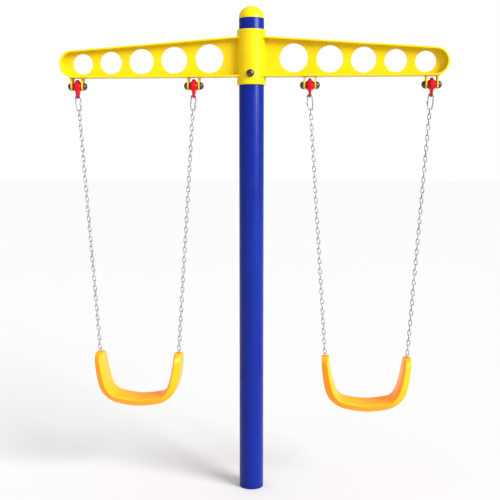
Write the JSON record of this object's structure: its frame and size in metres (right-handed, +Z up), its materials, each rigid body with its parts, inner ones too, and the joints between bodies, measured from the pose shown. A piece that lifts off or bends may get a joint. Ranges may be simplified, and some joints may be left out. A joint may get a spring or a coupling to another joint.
{
  "type": "single-post double swing",
  "caption": "Playground swing: one ground post with a bolted collar, perforated cantilever arms to both sides, and a U-shaped seat hung on chains from each arm.",
  "frame": {"origin": "centre of the post's lower end", "axes": "+Z up the post, +X along the right arm, and the seats swing along Y"},
  "size_m": [1.782, 0.1636, 2.2683],
  "materials": {
    "blue_paint": "glossy powder coat on steel tube",
    "yellow_paint": "glossy powder coat on welded steel",
    "red_paint": "glossy coat on a casting",
    "black_plastic": "moulded bolt cap",
    "galvanised_steel": "zinc plated",
    "bearing_nylon": "dark red bearing nylon",
    "yellow_plastic": "moulded seat plastic"
  },
  "bodies": {
    "frame": {"post_tube_lower": "blue_paint", "post_tube_middle": "blue_paint", "post_tube_upper": "blue_paint", "post_cap": "yellow_paint", "collar_sleeve": "yellow_paint", "collar_bolt": "galvanised_steel", "collar_bolt_front_cap": "black_plastic", "collar_bolt_rear_cap": "black_plastic", "left_arm_web": "yellow_paint", "left_arm_flange": "yellow_paint", "left_outer_near_ear": "yellow_paint", "left_outer_near_cap": "black_plastic", "left_outer_far_ear": "yellow_paint", "left_outer_far_cap": "black_plastic", "left_outer_pivot_bolt": "galvanised_steel", "left_outer_bush": "bearing_nylon", "left_inner_near_ear": "yellow_paint", "left_inner_near_cap": "black_plastic", "left_inner_far_ear": "yellow_paint", "left_inner_far_cap": "black_plastic", "left_inner_pivot_bolt": "galvanised_steel", "left_inner_bush": "bearing_nylon", "right_arm_web": "yellow_paint", "right_arm_flange": "yellow_paint", "right_outer_near_ear": "yellow_paint", "right_outer_near_cap": "black_plastic", "right_outer_far_ear": "yellow_paint", "right_outer_far_cap": "black_plastic", "right_outer_pivot_bolt": "galvanised_steel", "right_outer_bush": "bearing_nylon", "right_inner_near_ear": "yellow_paint", "right_inner_near_cap": "black_plastic", "right_inner_far_ear": "yellow_paint", "right_inner_far_cap": "black_plastic", "right_inner_pivot_bolt": "galvanised_steel", "right_inner_bush": "bearing_nylon"},
    "left_outer_hanger_body": {"left_outer_hanger": "red_paint"},
    "left_outer_chain_body": {"left_outer_quick_link": "galvanised_steel", "left_outer_link_nut": "galvanised_steel", "left_outer_chain": "galvanised_steel"},
    "left_inner_hanger_body": {"left_inner_hanger": "red_paint"},
    "left_inner_chain_body": {"left_inner_quick_link": "galvanised_steel", "left_inner_link_nut": "galvanised_steel", "left_inner_chain": "galvanised_steel"},
    "left_seat_body": {"left_seat": "yellow_plastic", "left_outer_seat_pin": "galvanised_steel", "left_inner_seat_pin": "galvanised_steel"},
    "right_outer_hanger_body": {"right_outer_hanger": "red_paint"},
    "right_outer_chain_body": {"right_outer_quick_link": "galvanised_steel", "right_outer_link_nut": "galvanised_steel", "right_outer_chain": "galvanised_steel"},
    "right_inner_hanger_body": {"right_inner_hanger": "red_paint"},
    "right_inner_chain_body": {"right_inner_quick_link": "galvanised_steel", "right_inner_link_nut": "galvanised_steel", "right_inner_chain": "galvanised_steel"},
    "right_seat_body": {"right_seat": "yellow_plastic", "right_outer_seat_pin": "galvanised_steel", "right_inner_seat_pin": "galvanised_steel"}
  },
  "joints": [
    {"name": "left_outer_swing", "type": "hinge", "parent": "frame", "child": "left_outer_hanger_body", "pos_m": [-0.817, 0, 1.912], "axis": [1, 0, 0], "range_deg": [-60, 60]},
    {"name": "left_outer_chain_fold", "type": "hinge", "parent": "left_outer_hanger_body", "child": "left_outer_chain_body", "pos_m": [-0.817, 0, 1.8715], "axis": [1, 0, 0], "range_deg": [-20, 20]},
    {"name": "left_inner_swing", "type": "hinge", "parent": "frame", "child": "left_inner_hanger_body", "pos_m": [-0.268, 0, 1.912], "axis": [1, 0, 0], "range_deg": [-60, 60]},
    {"name": "left_inner_chain_fold", "type": "hinge", "parent": "left_inner_hanger_body", "child": "left_inner_chain_body", "pos_m": [-0.268, 0, 1.8715], "axis": [1, 0, 0], "range_deg": [-20, 20]},
    {"name": "left_seat_tip", "type": "hinge", "parent": "left_outer_chain_body", "child": "left_seat_body", "pos_m": [-0.7335, 0, 0.64], "axis": [1, 0, 0], "range_deg": [-30, 30]},
    {"name": "right_outer_swing", "type": "hinge", "parent": "frame", "child": "right_outer_hanger_body", "pos_m": [0.817, 0, 1.912], "axis": [1, 0, 0], "range_deg": [-60, 60]},
    {"name": "right_outer_chain_fold", "type": "hinge", "parent": "right_outer_hanger_body", "child": "right_outer_chain_body", "pos_m": [0.817, 0, 1.8715], "axis": [1, 0, 0], "range_deg": [-20, 20]},
    {"name": "right_inner_swing", "type": "hinge", "parent": "frame", "child": "right_inner_hanger_body", "pos_m": [0.268, 0, 1.912], "axis": [1, 0, 0], "range_deg": [-60, 60]},
    {"name": "right_inner_chain_fold", "type": "hinge", "parent": "right_inner_hanger_body", "child": "right_inner_chain_body", "pos_m": [0.268, 0, 1.8715], "axis": [1, 0, 0], "range_deg": [-20, 20]},
    {"name": "right_seat_tip", "type": "hinge", "parent": "right_outer_chain_body", "child": "right_seat_body", "pos_m": [0.7335, 0, 0.64], "axis": [1, 0, 0], "range_deg": [-30, 30]}
  ],
  "couplings": [
    {"joint": "left_inner_swing", "follows": "left_outer_swing", "ratio": 1},
    {"joint": "left_inner_chain_fold", "follows": "left_outer_chain_fold", "ratio": 1},
    {"joint": "right_inner_swing", "follows": "right_outer_swing", "ratio": 1},
    {"joint": "right_inner_chain_fold", "follows": "right_outer_chain_fold", "ratio": 1}
  ]
}
